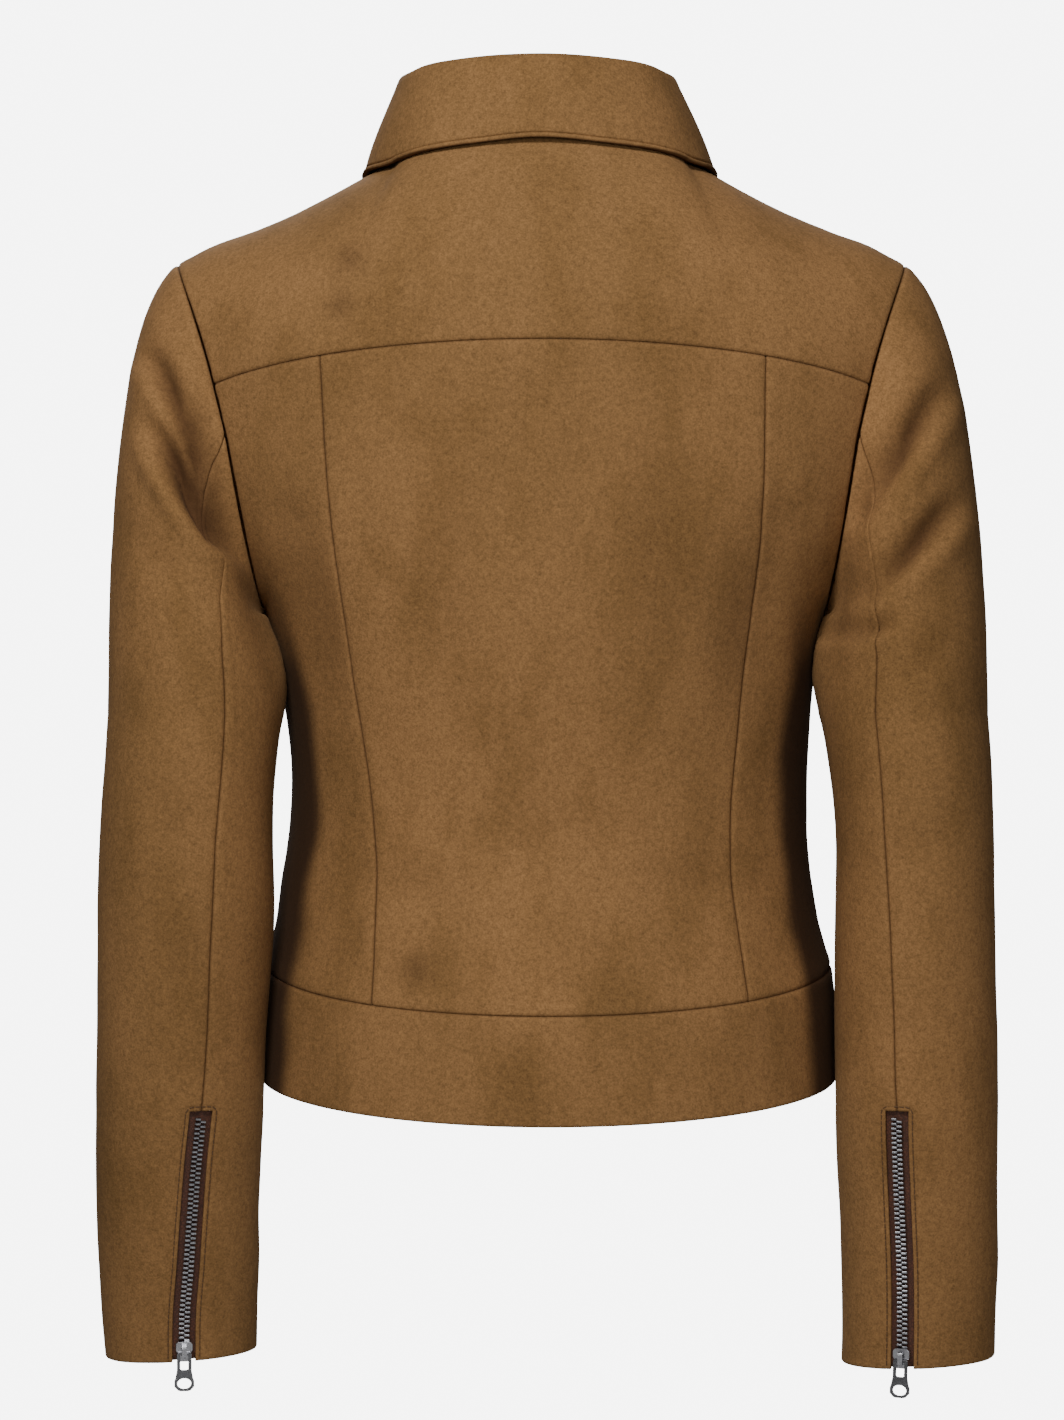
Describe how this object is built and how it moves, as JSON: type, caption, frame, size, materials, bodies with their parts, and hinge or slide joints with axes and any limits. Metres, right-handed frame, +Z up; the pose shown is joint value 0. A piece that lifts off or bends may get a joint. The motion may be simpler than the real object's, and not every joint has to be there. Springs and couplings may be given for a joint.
{
  "type": "suede jacket",
  "caption": "Hip-length suede jacket held as worn, with a turn-down collar, back yoke, princess seams, waistband, closed front zip and zipped cuffs.",
  "frame": {"origin": "middle of the neck opening at the height of the nape, where the jacket is held", "axes": "+Z up, +Y out of the back, -Y out of the front, +X towards the wearer's left"},
  "size_m": [0.4988, 0.2453, 0.733],
  "materials": {
    "suede": "matt nap",
    "zip_tape": "matt grain",
    "nickel": "polished nickel"
  },
  "bodies": {
    "jacket": {"back_yoke": "suede", "back_centre": "suede", "back_side_left": "suede", "back_side_right": "suede", "front_left": "suede", "front_right": "suede", "waistband_back": "suede", "waistband_front_left": "suede", "waistband_front_right": "suede", "collar": "suede", "sleeve_top_left": "suede", "sleeve_top_right": "suede", "sleeve_under_left": "suede", "sleeve_under_right": "suede", "cuff_tape_left": "zip_tape", "cuff_tape_right": "zip_tape", "front_tape_left": "zip_tape", "front_tape_right": "zip_tape", "cuff_chain_left": "nickel", "cuff_chain_right": "nickel", "front_chain": "nickel", "cuff_slider_left": "nickel", "cuff_slider_right": "nickel", "front_slider": "nickel"},
    "cuff_pull_left": {"cuff_pull_left": "nickel"},
    "cuff_pull_right": {"cuff_pull_right": "nickel"},
    "front_pull": {"front_pull": "nickel"}
  },
  "joints": [
    {"name": "cuff_pull_left_swing", "type": "hinge", "parent": "jacket", "child": "cuff_pull_left", "pos_m": [0.19452, 0.06253, -0.67806], "axis": [0.9924, 0.1228, -0.0012], "range_deg": [-5, 150]},
    {"name": "cuff_pull_right_swing", "type": "hinge", "parent": "jacket", "child": "cuff_pull_right", "pos_m": [-0.19531, 0.06083, -0.6821], "axis": [0.9605, -0.2767, 0.0307], "range_deg": [-5, 150]},
    {"name": "front_pull_swing", "type": "hinge", "parent": "jacket", "child": "front_pull", "pos_m": [0, -0.10821, -0.09613], "axis": [-1, 0, 0], "range_deg": [0, 150]}
  ]
}
